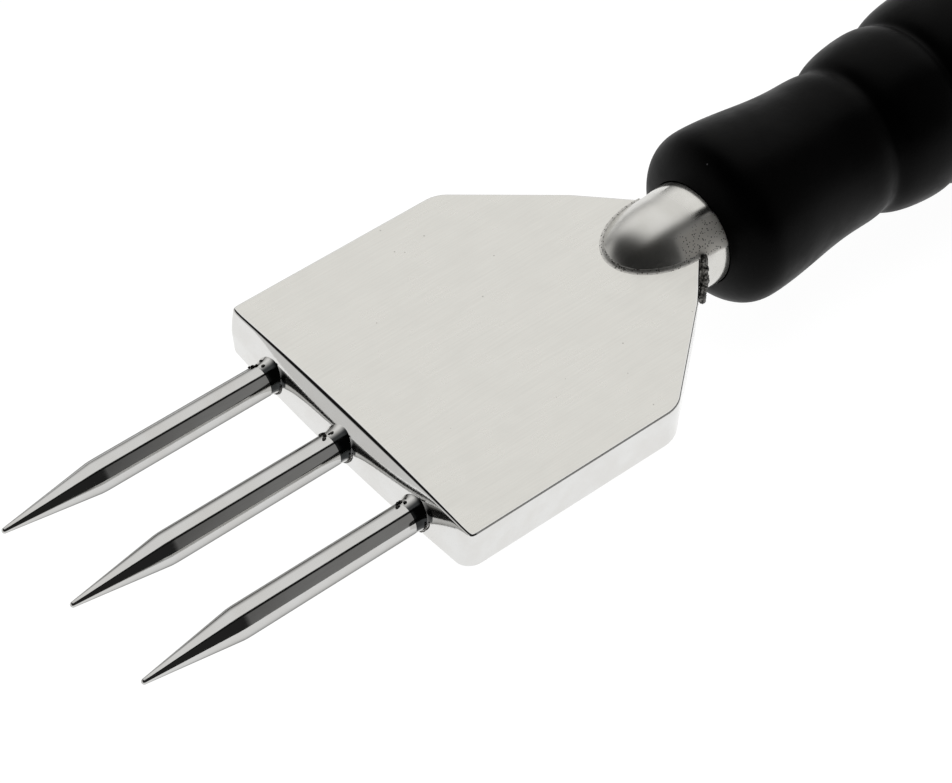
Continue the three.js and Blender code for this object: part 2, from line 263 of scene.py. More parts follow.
def head():
    """The flat head: square sides, tapering shoulders and a rolled, bellied front face."""
    clear_selection()
    rear = corner_line - side_length - shoulder_length
    middle = ((corner_line + rear) / 2, 0, (plate_low.z + plate_high.z) / 2)
    bpy.ops.mesh.primitive_cube_add(
        size=1, location=middle,
        scale=(corner_line - rear, 2 * plate_half_width, plate_thickness))
    piece = start_editing("head")
    shoulder = corner_line - side_length
    bend = corner_line - bend_length
    for station in (shoulder, bend):
        bpy.ops.mesh.select_all(action="SELECT")
        cut((station, 0, 0), (1, 0, 0))
    for station, half_width, drift in ((bend, bend_half_width, bend_drift),
                                       (rear, rear_half_width, rear_drift)):
        pick("VERT", lambda v: near(v.co.x, station))
        bpy.ops.transform.resize(value=(1, half_width / plate_half_width, 1),
                                 center_override=(station, 0, 0))
        bpy.ops.transform.translate(value=(0, drift, 0))
    # Upright corners, then the edges round the two broad faces.
    for station, offset, segments in ((corner_line, corner_round, 10),
                                      (shoulder, shoulder_round, 4)):
        pick("EDGE", lambda e: is_upright_corner(e, station))
        bpy.ops.mesh.bevel(offset=offset, segments=segments, profile=0.5)
    for level, offset, segments in ((plate_low.z, lower_rim_round, 6),
                                    (plate_high.z, upper_rim_round, 5)):
        pick("EDGE", lambda e: is_rim(e, level))
        bpy.ops.mesh.bevel(offset=offset, segments=segments, profile=0.5,
                           loop_slide=False)
    # A grid over the front alone, then each crossing goes to its place.
    strip = corner_line - front_depth
    bpy.ops.mesh.select_all(action="SELECT")
    cut((strip, 0, 0), (1, 0, 0))
    in_front = lambda f: f.calc_center_median().x > strip
    face_edge = plate_half_width - corner_round
    for step in range(1, front_columns):
        pick("FACE", in_front)
        cut((0, face_edge * (2 * step / front_columns - 1), 0), (0, 1, 0))
    for angle in arc(front_rows, first_row, 90):
        pick("FACE", lambda f: in_front(f) and abs(f.normal.z) < 0.9)
        cut((0, 0, plate_high.z - roll_drop * (1 - math.cos(angle))), (0, 0, 1))
    reshape(front_shift)
    finish_piece(50)
    even_normals(piece)
    return piece


# ---- Tines and their welds -------------------------------------------------------------

tine_radius = 2.05 * MM
tine_pitch = 13.5 * MM
tine_chamfer = 0.2 * MM            # round the end inside the head
tine_droop = math.radians(0.4)     # the tines point a little downwards
root_depth = 12 * MM               # a tine's length inside the head
cone_length = 12.9 * MM
cone_blend = 0.3 * MM              # the rod eases into its cone by this, before and behind
cone_foot_radius = tine_radius * 0.98
cone_rings = 8
tip_radius = 0.35 * MM

fillet_along = 1.3 * MM
fillet_across = 0.32 * MM
fillet_bite = 0.03 * MM            # it starts just below the face
fillet_gap = 0.005 * MM            # and just off the tine
fillet_sunk = 0.8 * MM             # its hidden part reaches this far into the head
fillet_lap = 0.3 * MM              # and this far into the tine

undercut_lift = 0.12 * MM          # the ragged line's place ahead of the face
undercut_gap = 0.3 * MM            # and off the tine
undercut_radius = 0.07 * MM
undercut_ends = ((0, 0.94, 0.34), (0, 0.17, -0.98))     # it is kept in front of both planes
spatter_count = 7


def own_axis(low, high):
    """How far aside and how high the axis of a part is, from the part's box."""
    return (low.y + high.y) / 2, (low.z + high.z) / 2


def tine_profile(low, high):
    """A round rod drawn down to a blunt cone, as (station, radius) points."""
    lean = math.atan2(tine_radius - tip_radius, cone_length - tip_radius)
    bend = high.x - cone_length
    foot = bend + cone_blend
    top = high.x - tip_radius + tip_radius * math.sin(lean)
    top_radius = tip_radius * math.cos(lean)
    profile = [(low.x, tine_radius - tine_chamfer), (low.x + tine_chamfer, tine_radius),
               (bend - 3 * cone_blend, tine_radius), (bend - cone_blend, tine_radius * 0.996),
               (foot, cone_foot_radius)]
    for step in range(1, cone_rings + 1):
        along = step / cone_rings
        profile.append((foot + (top - foot) * along,
                        cone_foot_radius + (top_radius - cone_foot_radius) * along))
    for angle in arc(6, math.degrees(lean), 84)[1:]:
        profile.append((high.x - tip_radius + tip_radius * math.sin(angle),
                        tip_radius * math.cos(angle)))
    return profile


def tine_pattern():
    """The tine that the three are copied from, in the left one's place."""
    low, high = (Vector(corner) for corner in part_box("tine_left"))
    centre_y, centre_z = own_axis(low, high)
    piece = turn("tine pattern", tine_profile(low, high), centre_y, centre_z, sides=72)
    bpy.ops.mesh.select_all(action="SELECT")
    # With no window the rotation turns the other way, so a droop is a negative angle.
    bpy.ops.transform.rotate(value=-tine_droop, orient_axis="Y",
                             center_override=(low.x + root_depth, centre_y, centre_z))
    finish_piece(30)
    return piece


def tine(name, pattern):
    """A round tine drawn down to a blunt conical point."""
    low, high = (Vector(corner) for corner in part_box(name))
    left_low, left_high = (Vector(corner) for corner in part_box("tine_left"))
    aside = own_axis(low, high)[0] - own_axis(left_low, left_high)[0]
    piece = copy_piece(pattern, name.replace("tine", "point"), aside)
    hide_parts(name)
    return piece


def root_fillet(name):
    """The smooth hollow fillet between the rolled front face and a tine."""
    low, high = (Vector(corner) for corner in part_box(name))
    centre_y, centre_z = own_axis(low, high)
    face = corner_line + front_face_offset(centre_y, centre_z) - fillet_bite
    wall = tine_radius + fillet_gap
    bore = tine_radius - fillet_lap
    profile = [(face - fillet_sunk, bore), (face - fillet_sunk, wall + fillet_across)]
    profile += [(face + fillet_along * (1 - math.cos(angle)),
                 wall + fillet_across * (1 - math.sin(angle))) for angle in arc(12)]
    profile.append((face + fillet_along, bore))
    piece = turn(name.replace("weld", "root_fillet"), profile, centre_y, centre_z, sides=60,
                 bored=True)

    def follow_face(spot):
        distance = math.hypot(spot.y - centre_y, spot.z - centre_z)
        share = min(max((distance - wall) / fillet_across, 0.0), 1.0)
        setback = (front_face_offset(spot.y, spot.z) - front_face_offset(centre_y, centre_z))
        return Vector((setback * share, 0, 0))

    reshape(follow_face)
    finish_piece(60)
    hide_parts(name)
    return piece


def weld_spatter(name, seed):
    """What the welder left at a root: a short ragged undercut line and a few small beads."""
    low, high = (Vector(corner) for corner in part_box(name))
    centre_y, centre_z = own_axis(low, high)
    face = corner_line + front_face_offset(centre_y, centre_z)
    centre = Vector((face + undercut_lift, centre_y, centre_z))
    clear_selection()
    bpy.ops.mesh.primitive_torus_add(
        major_radius=tine_radius + undercut_gap, minor_radius=undercut_radius,
        major_segments=120, minor_segments=8, location=centre, rotation=(0, math.pi / 2, 0))
    piece = start_editing(name.replace("weld", "spatter"))
    for normal in undercut_ends:
        bpy.ops.mesh.select_all(action="SELECT")
        bpy.ops.mesh.bisect(plane_co=centre, plane_no=normal, clear_inner=True, use_fill=True)
    draw = random.Random(seed)
    for _ in range(spatter_count):
        turned = math.radians(draw.uniform(96, 138))
        reach = tine_radius + draw.uniform(0.0, 0.12) * MM
        spot = centre + Vector((draw.uniform(0.1, 1.9) * MM, reach * math.cos(turned),
                                reach * math.sin(turned)))
        bpy.ops.mesh.primitive_ico_sphere_add(
            subdivisions=3, radius=draw.uniform(0.1, 0.2) * MM, location=spot)
        bpy.ops.transform.resize(value=(1.4, 1, 0.8), center_override=spot)
    roughen(0.05 * MM, seed)
    finish_piece(60)
    return piece


def shoulder_shade_beads(seed):
    """Painted shade: a ragged run of dark beads down the head's rear corner, beside the neck."""
    clear_selection()
    draw = random.Random(seed)
    top = Vector((corner_line - 50.5 * MM, 6.35 * MM, plate_high.z - 0.2 * MM))
    middle = Vector((corner_line - 50.4 * MM, 7.05 * MM, axis_height))
    bottom = Vector((corner_line - 50.0 * MM, 7.3 * MM, plate_low.z + 0.3 * MM))
    # The beads stand in for the shadow under the handle, which this corner reflects.
    beads = 13
    piece = None
    for step in range(beads):
        along = step / (beads - 1)
        spot = (top.lerp(middle, 2 * along) if along < 0.5
                else middle.lerp(bottom, 2 * along - 1))
        bpy.ops.mesh.primitive_ico_sphere_add(
            subdivisions=3, radius=(0.5 + 0.15 * draw.random()) * MM, location=spot)
        if piece is None:
            piece = start_editing("shoulder_shade_beads")
            bpy.ops.mesh.select_all(action="SELECT")
        bpy.ops.transform.resize(value=(0.8, 0.9, 1.2), center_override=spot)
    roughen(0.07 * MM, seed)
    finish_piece(60)
    return piece


# ---- Shank -----------------------------------------------------------------------------

nose_radius = 6.75 * MM
nose_length = 10.4 * MM
nose_centre = corner_line - 50 * MM
taper_rings = 6                  # between the neck and the slightly thinner nose
seat_length = 5 * MM             # the neck's length inside the handle
seat_chamfer = 0.3 * MM
tang_radius = 4 * MM
thread_length = 16 * MM
thread_depth = 0.4 * MM

nose_seam = 0.35 * MM            # both legs of the fillet round the nose
seam_sunk = 0.3 * MM             # its hidden part reaches this far into the head
seam_lap = 0.4 * MM              # and this far into the nose
seam_tail = 1.1 * MM             # its straight ends behind the nose's centre


def bar():
    """The turned bar: bullet nose, neck, seat in the handle and tang."""
    seat_end = mouth - seat_length
    thread_radius = tang_radius - thread_depth
    thread_end = shank_low.x + thread_length
    profile = [(shank_low.x, thread_radius - thread_depth),
               (shank_low.x + thread_depth, thread_radius),
               (thread_end, thread_radius), (thread_end + thread_depth, tang_radius),
               (seat_end, tang_radius), (seat_end, neck_radius - seat_chamfer),
               (seat_end + seat_chamfer, neck_radius), (mouth, neck_radius)]
    for step in range(1, taper_rings + 1):
        along = step / taper_rings
        ease = (1 - math.cos(math.pi * along)) / 2
        profile.append((mouth + (nose_centre - mouth) * along,
                        neck_radius + (nose_radius - neck_radius) * ease))
    for angle in arc(22, 0, 87)[1:]:
        profile.append((nose_centre + nose_length * math.sin(angle),
                        nose_radius * math.cos(angle)))
    piece = turn("bar", profile)
    finish_piece(35)
    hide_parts("shank")
    return piece


def nose_fillet(name, side):
    """The hollow fillet where the nose stands on the head: side 1 is above it, -1 below."""
    clear_selection()
    half = plate_thickness / 2
    rings = [(half - seam_sunk, nose_seam), (half, nose_seam)]
    rings += [(half + nose_seam * (1 - math.cos(angle)), nose_seam * (1 - math.sin(angle)))
              for angle in arc(8)[1:]]
    rings.append((half + nose_seam, -seam_lap))
    sizes = []
    for height, spread in rings:
        share = math.sqrt(1 - (height / nose_radius) ** 2)
        sizes.append((axis_height + side * height, nose_length * share + spread,
                      nose_radius * share + spread))
    height, length, width = sizes[0]
    bpy.ops.mesh.primitive_circle_add(vertices=160, radius=width, fill_type="NGON",
                                      location=(nose_centre, 0, height))
    piece = start_editing(name)
    bpy.ops.mesh.select_mode(type="FACE")
    bpy.ops.mesh.select_all(action="SELECT")
    bpy.ops.transform.resize(value=(length / width, 1, 1),
                             center_override=(nose_centre, 0, height))
    for next_height, next_length, next_width in sizes[1:]:
        bpy.ops.mesh.extrude_region_move(
            TRANSFORM_OT_translate={"value": (0, 0, next_height - height)})
        bpy.ops.transform.resize(value=(next_length / length, next_width / width, 1),
                                 center_override=(nose_centre, 0, next_height))
        height, length, width = next_height, next_length, next_width
    bpy.ops.mesh.select_all(action="SELECT")
    bpy.ops.mesh.bisect(plane_co=(nose_centre, 0, 0), plane_no=(1, 0, 0),
                        clear_inner=True, use_fill=True)
    pick("FACE", lambda f: near(f.calc_center_median().x, nose_centre, 0.01 * MM))
    bpy.ops.mesh.extrude_region_move(TRANSFORM_OT_translate={"value": (-seam_tail, 0, 0)})
    finish_piece(60)
    return piece


# ---- Handle ----------------------------------------------------------------------------

bell_rise = 5.2 * MM
bell_spring = 4.3 * MM
bell_radius = 11.85 * MM
waist_radius = 10.45 * MM
waist = mouth - 21.5 * MM
ridges_front = mouth - 26.8 * MM
rim_length = 3.4 * MM
ridge_length = 11.3 * MM
ridge_count = 3
first_ridge_radius = 11.8 * MM
ridge_step = 1.2 * MM
groove_depth = 2.2 * MM
ridge_fullness = 2.4
palm_radius = 14.8 * MM
palm_rise = 0.16
palm_crown_shift = 0.8
butt_radius = cap_high.z - axis_height
mouth_radius = neck_radius + 0.12 * MM
outline_pitch = 0.35 * MM
easing_rounds = 10

mould_gap = 0.3 * MM             # between the core and what stands in or round it
lip_length = 1.1 * MM            # the soft lip that closes round the neck
core_front_radius = 8.2 * MM
core_front = mouth - lip_length - mould_gap
core_neck = mouth - 8 * MM       # the core narrows here under the waist
core_narrow_radius = 6.7 * MM
core_step = ridges_front - ridge_count * ridge_length + 8 * MM     # and widens again here
core_wide_radius = 10.75 * MM
core_chamfer = 0.3 * MM
pocket_radius = 8.8 * MM
pocket_floor = core_step - 4 * MM

spigot_length = 5 * MM           # the part of the end cap that stands in the core
spigot_radius = 8.5 * MM
spigot_bore_radius = 6.5 * MM
cap_band = 1.2 * MM              # the straight band at the dome's foot
cap_chamfer = 0.2 * MM
cap_flat_radius = 2.6 * MM
cap_flat_setback = 0.35 * MM
pole_radius = 0.4 * MM           # the cap's faces close on a disc this small


def ridge_radius(index):
    return first_ridge_radius + index * ridge_step


def grip_outside():
    """Outside of the grip, from the mouth to the butt, as (station, radius) points."""
    bell_top = mouth - bell_rise
    start = math.degrees(math.asin((mouth_radius - bell_spring) / (bell_radius - bell_spring)))
    points = [(bell_top + bell_rise * math.cos(angle),
               bell_spring + (bell_radius - bell_spring) * math.sin(angle))
              for angle in arc(16, start, 90)]
    waist_steps, rim_steps, ridge_steps, palm_steps = 12, 8, 24, 36
    for step in range(1, waist_steps + 1):
        along = step / waist_steps
        fall = (1 - math.cos(math.pi * along)) / 2
        points.append((bell_top + (waist - bell_top) * along,
                       bell_radius + (waist_radius - bell_radius) * fall))
    rim_drop = waist_radius - (ridge_radius(0) - groove_depth)
    for step in range(rim_steps + 1):
        along = math.sin(math.pi / 2 * step / rim_steps)
        points.append((ridges_front + rim_length * (1 - along),
                       waist_radius - rim_drop + rim_drop * math.sqrt(1 - along * along)))
    for index in range(ridge_count):
        front = ridges_front - index * ridge_length
        for step in range(1, ridge_steps + 1):
            along = (1 - math.cos(math.pi * step / ridge_steps)) / 2
            crest = math.sqrt(1 - abs(2 * along - 1) ** ridge_fullness)
            foot = ridge_radius(index) - groove_depth + along * ridge_step
            points.append((front - along * ridge_length,
                           foot + crest * (groove_depth - ridge_step / 2)))
    ridges_rear = ridges_front - ridge_count * ridge_length
    groove_radius = ridge_radius(ridge_count) - groove_depth
    base = ridge_radius(ridge_count - 1)
    swell = palm_radius - (base + butt_radius) / 2
    for step in range(1, palm_steps + 1):
        along = (step / palm_steps) ** 1.5
        lift = math.sqrt(1 - (1 - min(along / palm_rise, 1)) ** 2)
        target = (base + (butt_radius - base) * along
                  + swell * math.sin(math.pi * along ** palm_crown_shift))
        points.append((ridges_rear - along * (ridges_rear - grip_low.x),
                       groove_radius + (target - groove_radius) * lift))
    return eased(evenly(points))


def evenly(points, pitch=outline_pitch):
    """The same outline with its points an even distance apart."""
    spread, travelled = [points[0]], 0.0
    for (x0, r0), (x1, r1) in zip(points, points[1:]):
        run = math.hypot(x1 - x0, r1 - r0)
        while run > 0 and travelled + run >= pitch * len(spread):
            share = (pitch * len(spread) - travelled) / run
            spread.append((x0 + (x1 - x0) * share, r0 + (r1 - r0) * share))
        travelled += run
    return spread + [points[-1]]


def eased(points, rounds=easing_rounds):
    """The outline with its sharp grooves softened, as soft moulding leaves them."""
    for _ in range(rounds):
        inner = [((x0 + 2 * x1 + x2) / 4, (r0 + 2 * r1 + r2) / 4)
                 for (x0, r0), (x1, r1), (x2, r2) in zip(points, points[1:], points[2:])]
        points = [points[0], *inner, points[-1]]
    limit = grip_high.z - axis_height
    return [(x, min(r, limit)) for x, r in points]


def soft_grip():
    """The ridged soft grip, moulded over the core and closing round the neck."""
    wide = core_wide_radius + mould_gap
    narrow = core_narrow_radius + mould_gap
    front = core_front_radius + mould_gap / 2
    step = core_step + mould_gap
    neck = core_neck - mould_gap
    lip = mouth - lip_length
    profile = grip_outside() + [
        (grip_low.x, wide), (step, wide), (step, narrow), (neck, narrow), (neck, front),
        (lip, front), (lip, mouth_radius)]
    piece = turn("soft_grip", profile, bored=True, sides=128)
    finish_piece(40)
    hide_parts("grip")
    return piece


def core():
    """The hard core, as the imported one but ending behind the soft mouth."""
    socket_radius = 7.3 * MM
    socket_floor = mouth - seat_length - mould_gap
    bore = tang_radius + mould_gap
    profile = [(core_low.x, core_wide_radius), (core_step, core_wide_radius),
               (core_step, core_narrow_radius), (core_neck, core_narrow_radius),
               (core_neck, core_front_radius), (core_front - core_chamfer, core_front_radius),
               (core_front, core_front_radius - core_chamfer), (core_front, socket_radius),
               (socket_floor, socket_radius), (socket_floor, bore), (pocket_floor, bore),
               (pocket_floor, pocket_radius), (core_low.x, pocket_radius)]
    piece = turn("core", profile, bored=True)
    finish_piece(30)
    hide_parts("handle_core")
    return piece


def end_cap():
    """The domed cap at the butt, flat at its middle, with the hollow spigot that holds it."""
    dome = cap_high.x - spigot_length - cap_band - cap_low.x
    foot = cap_low.x + dome + cap_band
    flat = cap_low.x + cap_flat_setback
    profile = [(flat, pole_radius), (flat, cap_flat_radius)]
    for angle in arc(16, 16, 90):
        profile.append((cap_low.x + dome * (1 - math.cos(angle)), butt_radius * math.sin(angle)))
    profile += [(foot - cap_chamfer, butt_radius), (foot, butt_radius - cap_chamfer),
                (foot, spigot_radius), (cap_high.x, spigot_radius),
                (cap_high.x, spigot_bore_radius), (foot, spigot_bore_radius),
                (foot, pole_radius)]
    piece = turn("end_cap", profile)
    finish_piece(40)
    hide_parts("butt_cap")
    return piece


# ---- Finishes --------------------------------------------------------------------------

def put(tree, kind, **values):
    """Adds a node. Values go to its sockets, or to its settings where it has no such socket."""
    node = tree.nodes.new(kind)
    for name, value in values.items():
        socket = node.inputs.get(name.replace("_", " "))
        if hasattr(node, name) and socket is None:
            setattr(node, name, value)
        elif socket is not None:
            if isinstance(value, bpy.types.NodeSocket):
                tree.links.new(value, socket)
            else:
                socket.default_value = value
        else:
            raise KeyError(f"{kind} has no {name}")
    return node


def maths(tree, operation, first, second):
    node = tree.nodes.new("ShaderNodeMath")
    node.operation = operation
    for socket, value in zip(node.inputs, (first, second)):
        if isinstance(value, bpy.types.NodeSocket):
            tree.links.new(value, socket)
        else:
            socket.default_value = value
    return node.outputs[0]


def added(tree, first, *others):
    for other in others:
        first = maths(tree, "ADD", first, other)
    return first


def product(tree, first, *others):
    for other in others:
        first = maths(tree, "MULTIPLY", first, other)
    return first


def ramp(tree, value, low, high, out_low=0.0, out_high=1.0):
    """Goes smoothly from out_low to out_high as the value goes from low to high."""
    node = tree.nodes.new("ShaderNodeMapRange")
    node.interpolation_type = "SMOOTHSTEP"
    for name, number in (("From Min", low), ("From Max", high),
                         ("To Min", out_low), ("To Max", out_high)):
        node.inputs[name].default_value = number
    tree.links.new(value, node.inputs["Value"])
    return node.outputs["Result"]


def blend(tree, share, first, second):
    node = tree.nodes.new("ShaderNodeMix")
    node.data_type = "RGBA"
    tree.links.new(share, node.inputs["Factor"])
    colour_a, colour_b = [s for s in node.inputs if s.type == "RGBA"]
    for socket, value in ((colour_a, first), (colour_b, second)):
        if isinstance(value, bpy.types.NodeSocket):
            tree.links.new(value, socket)
        else:
            socket.default_value = (*value, 1)
    return [s for s in node.outputs if s.type == "RGBA"][0]


def effect(name, inputs, outputs):
    """A new node group that reads a place and these numbers, with its entry and its exit."""
    group = bpy.data.node_groups.new(name, "ShaderNodeTree")
    group.interface.new_socket(name="Place", in_out="INPUT", socket_type="NodeSocketVector")
    for label, value in inputs.items():
        socket = group.interface.new_socket(
            name=label, in_out="INPUT", socket_type="NodeSocketFloat")
        socket.default_value = value
    for label in outputs:
        group.interface.new_socket(
            name=label, in_out="OUTPUT", socket_type="NodeSocketFloat")
    entry = group.nodes.new("NodeGroupInput")
    out = group.nodes.new("NodeGroupOutput")
    return group, entry, out


def place_effect(tree, group, place, **values):
    node = tree.nodes.new("ShaderNodeGroup")
    node.node_tree = group
    tree.links.new(place, node.inputs["Place"])
    for name, value in values.items():
        node.inputs[name.replace("_", " ")].default_value = value
    return node


def grain_effect():
    """Fine lines left by a belt or wheel, running along X."""
    group, entry, out = effect("belt grain", {"Lines": 5000.0, "Run": 140.0}, ["Grain", "Cloud"])
    scale = group.nodes.new("ShaderNodeCombineXYZ")
    group.links.new(entry.outputs["Run"], scale.inputs[0])
    group.links.new(entry.outputs["Lines"], scale.inputs[1])
    group.links.new(entry.outputs["Lines"], scale.inputs[2])
    spot = group.nodes.new("ShaderNodeVectorMath")
    spot.operation = "MULTIPLY"
    group.links.new(entry.outputs["Place"], spot.inputs[0])
    group.links.new(scale.outputs[0], spot.inputs[1])
    lines = put(group, "ShaderNodeTexNoise", Vector=spot.outputs[0], Scale=1.0, Detail=3.0,
                Roughness=0.6)
    cloud = put(group, "ShaderNodeTexNoise", Vector=entry.outputs["Place"], Scale=260.0,
                Detail=4.0, Roughness=0.55)
    group.links.new(lines.outputs[0], out.inputs["Grain"])
    group.links.new(cloud.outputs[0], out.inputs["Cloud"])
    return group


def pit_effect():
    """Small round marks, few and scattered: pits in metal, or dust on rubber."""
    group, entry, out = effect("scattered marks", {"Scale": 700.0, "Size": 0.18, "Share": 0.1},
                               ["Marks"])
    cells = put(group, "ShaderNodeTexVoronoi", Vector=entry.outputs["Place"], Randomness=1.0)
    group.links.new(entry.outputs["Scale"], cells.inputs["Scale"])
    near_centre = maths(group, "LESS_THAN", cells.outputs["Distance"], entry.outputs["Size"])
    split = put(group, "ShaderNodeSeparateColor", Color=cells.outputs["Color"])
    chosen = maths(group, "LESS_THAN", split.outputs[0], entry.outputs["Share"])
    group.links.new(product(group, near_centre, chosen), out.inputs["Marks"])
    return group


grain_group = grain_effect()
pit_group = pit_effect()


def new_finish(name, metallic, roughness):
    material = bpy.data.materials.new(name)
    material.use_nodes = True
    tree = material.node_tree
    shader = tree.nodes["Principled BSDF"]
    shader.inputs["Metallic"].default_value = metallic
    shader.inputs["Roughness"].default_value = roughness
    place = tree.nodes.new("ShaderNodeTexCoord").outputs["Object"]
    return material, tree, shader, place


def raise_surface(tree, shader, height, distance):
    bump = put(tree, "ShaderNodeBump", Height=height, Distance=distance, Strength=1.0)
    tree.links.new(bump.outputs["Normal"], shader.inputs["Normal"])


def satin_steel():
    """The head's broad faces: belt-ground along the tool, with a few small pits."""
    material, tree, shader, place = new_finish("satin steel", 1.0, 0.3)
    grain = place_effect(tree, grain_group, place, Lines=5200.0, Run=170.0)
    pits = place_effect(tree, pit_group, place, Scale=1100.0, Size=0.12, Share=0.03)
    shade = added(tree, product(tree, grain.outputs["Grain"], 0.5),
                  product(tree, grain.outputs["Cloud"], 0.5))
    colour = blend(tree, ramp(tree, shade, 0.3, 0.7),
                   (0.68, 0.672, 0.637), (0.735, 0.727, 0.69))
    colour = blend(tree, pits.outputs["Marks"], colour, (0.46, 0.45, 0.42))
    tree.links.new(colour, shader.inputs["Base Color"])
    tree.links.new(ramp(tree, grain.outputs["Cloud"], 0.3, 0.7, 0.26, 0.36),
                   shader.inputs["Roughness"])
    height = maths(tree, "SUBTRACT", grain.outputs["Grain"], pits.outputs["Marks"])
    raise_surface(tree, shader, height, 0.002 * MM)
    return material


def bright_steel(name, lightness, gloss, edge=1.0):
    """Polished steel with faint lines. A low edge takes shine off faces seen at a slant."""
    material, tree, shader, place = new_finish(name, 1.0, gloss)
    shader.inputs["Specular Tint"].default_value = (edge, edge, edge, 1)
    grain = place_effect(tree, grain_group, place, Lines=3600.0, Run=500.0)
    colour = blend(tree, ramp(tree, grain.outputs["Cloud"], 0.3, 0.7),
                   (lightness * 0.95, lightness * 0.94, lightness * 0.915),
                   (lightness, lightness, lightness * 0.985))
    tree.links.new(colour, shader.inputs["Base Color"])
    tree.links.new(ramp(tree, grain.outputs["Grain"], 0.3, 0.7, gloss * 0.7, gloss * 1.5),
                   shader.inputs["Roughness"])
    raise_surface(tree, shader, grain.outputs["Grain"], 0.0015 * MM)
    return material


def bar_steel():
    """The turned bar: bright neck, softer nose and a rough heat-marked patch between."""
    material, tree, shader, place = new_finish("turned bar steel", 1.0, 0.15)
    grain = place_effect(tree, grain_group, place, Lines=2400.0, Run=700.0)
    pits = place_effect(tree, pit_group, place, Scale=3800.0, Size=0.34, Share=0.45)
    x, y, z = put(tree, "ShaderNodeSeparateXYZ", Vector=place).outputs
    on_nose = ramp(tree, x, mouth + 0.5 * MM, mouth + 3.5 * MM)
    # The patch is at the nose's foot, high on one side, with a ragged front edge.
    ragged = added(tree, x, product(tree, grain.outputs["Cloud"], 2.5 * MM))
    patch = product(
        tree, ramp(tree, ragged, nose_centre + 2.2 * MM, nose_centre + 4.0 * MM, 1.0, 0.0),
        ramp(tree, y, 2.9 * MM, 4.0 * MM),
        ramp(tree, z, axis_height + 2.6 * MM, axis_height + 3.2 * MM))
    colour = blend(tree, ramp(tree, grain.outputs["Cloud"], 0.3, 0.7),
                   (0.62, 0.612, 0.58), (0.68, 0.672, 0.645))
    colour = blend(tree, patch, colour, (0.74, 0.72, 0.68))
    marks = product(tree, pits.outputs["Marks"], patch)
    colour = blend(tree, marks, colour, (0.16, 0.155, 0.145))
    tree.links.new(colour, shader.inputs["Base Color"])
    roughness = added(tree, ramp(tree, on_nose, 0.0, 1.0, 0.14, 0.31),
                      product(tree, patch, 0.45))
    tree.links.new(roughness, shader.inputs["Roughness"])
    raise_surface(tree, shader, grain.outputs["Grain"], 0.002 * MM)
    return material


def root_steel():
    """The fillets at the tine roots: bright steel, with a dark reflection painted high on one
    side.
    """
    material, tree, shader, place = new_finish("root steel", 1.0, 0.12)
    grain = place_effect(tree, grain_group, place, Lines=2600.0, Run=900.0)
    _, y, z = put(tree, "ShaderNodeSeparateXYZ", Vector=place).outputs
    ragged = added(tree, z, product(tree, grain.outputs["Grain"], 1.2 * MM))
    aside = put(tree, "ShaderNodeMath", operation="WRAP")       # from each tine's own middle
    tree.links.new(y, aside.inputs[0])
    aside.inputs[1].default_value = tine_pitch / 2
    aside.inputs[2].default_value = -tine_pitch / 2
    # Painted reflection: black base colour high on one side of each root, where the glossy
    # fillet would reflect dark.
    black = product(tree, ramp(tree, ragged, axis_height - 0.5 * MM, axis_height + 0.1 * MM),
                    ramp(tree, aside.outputs[0], -0.6 * MM, 0.4 * MM))
    colour = blend(tree, black, (0.6, 0.595, 0.58), (0.035, 0.037, 0.038))
    tree.links.new(colour, shader.inputs["Base Color"])
    tree.links.new(ramp(tree, grain.outputs["Grain"], 0.3, 0.7, 0.09, 0.2),
                   shader.inputs["Roughness"])
    return material


def pitted_steel():
    """The seam round the nose: satin steel with many dark pits."""
    material, tree, shader, place = new_finish("pitted seam steel", 1.0, 0.45)
    grain = place_effect(tree, grain_group, place, Lines=2600.0, Run=2600.0)
    pits = place_effect(tree, pit_group, place, Scale=4200.0, Size=0.36, Share=0.5)
    colour = blend(tree, ramp(tree, grain.outputs["Grain"], 0.35, 0.65),
                   (0.6, 0.59, 0.56), (0.72, 0.71, 0.68))
    colour = blend(tree, pits.outputs["Marks"], colour, (0.05, 0.048, 0.045))
    tree.links.new(colour, shader.inputs["Base Color"])
    raise_surface(tree, shader, pits.outputs["Marks"], -0.02 * MM)
    return material


def weld_residue_and_shade():
    """Rough, nearly black: the weld's leavings at the tine roots, and painted shade beside the
    neck.
    """
    material, tree, shader, place = new_finish("weld residue", 1.0, 0.35)
    grain = place_effect(tree, grain_group, place, Lines=2600.0, Run=2600.0)
    pits = place_effect(tree, pit_group, place, Scale=1900.0, Size=0.3, Share=0.35)
    colour = blend(tree, ramp(tree, grain.outputs["Grain"], 0.4, 0.62),
                   (0.02, 0.019, 0.018), (0.17, 0.165, 0.155))
    tree.links.new(colour, shader.inputs["Base Color"])
    height = maths(tree, "SUBTRACT", grain.outputs["Grain"], pits.outputs["Marks"])
    raise_surface(tree, shader, height, 0.05 * MM)
    return material


def zinc():
    """The hidden nut's and washer's plating."""
    material, tree, shader, place = new_finish("zinc plate", 1.0, 0.4)
    grain = place_effect(tree, grain_group, place, Lines=1500.0, Run=1500.0)
    colour = blend(tree, ramp(tree, grain.outputs["Grain"], 0.35, 0.65),
                   (0.52, 0.54, 0.55), (0.66, 0.68, 0.69))
    tree.links.new(colour, shader.inputs["Base Color"])
    raise_surface(tree, shader, grain.outputs["Grain"], 0.005 * MM)
    return material


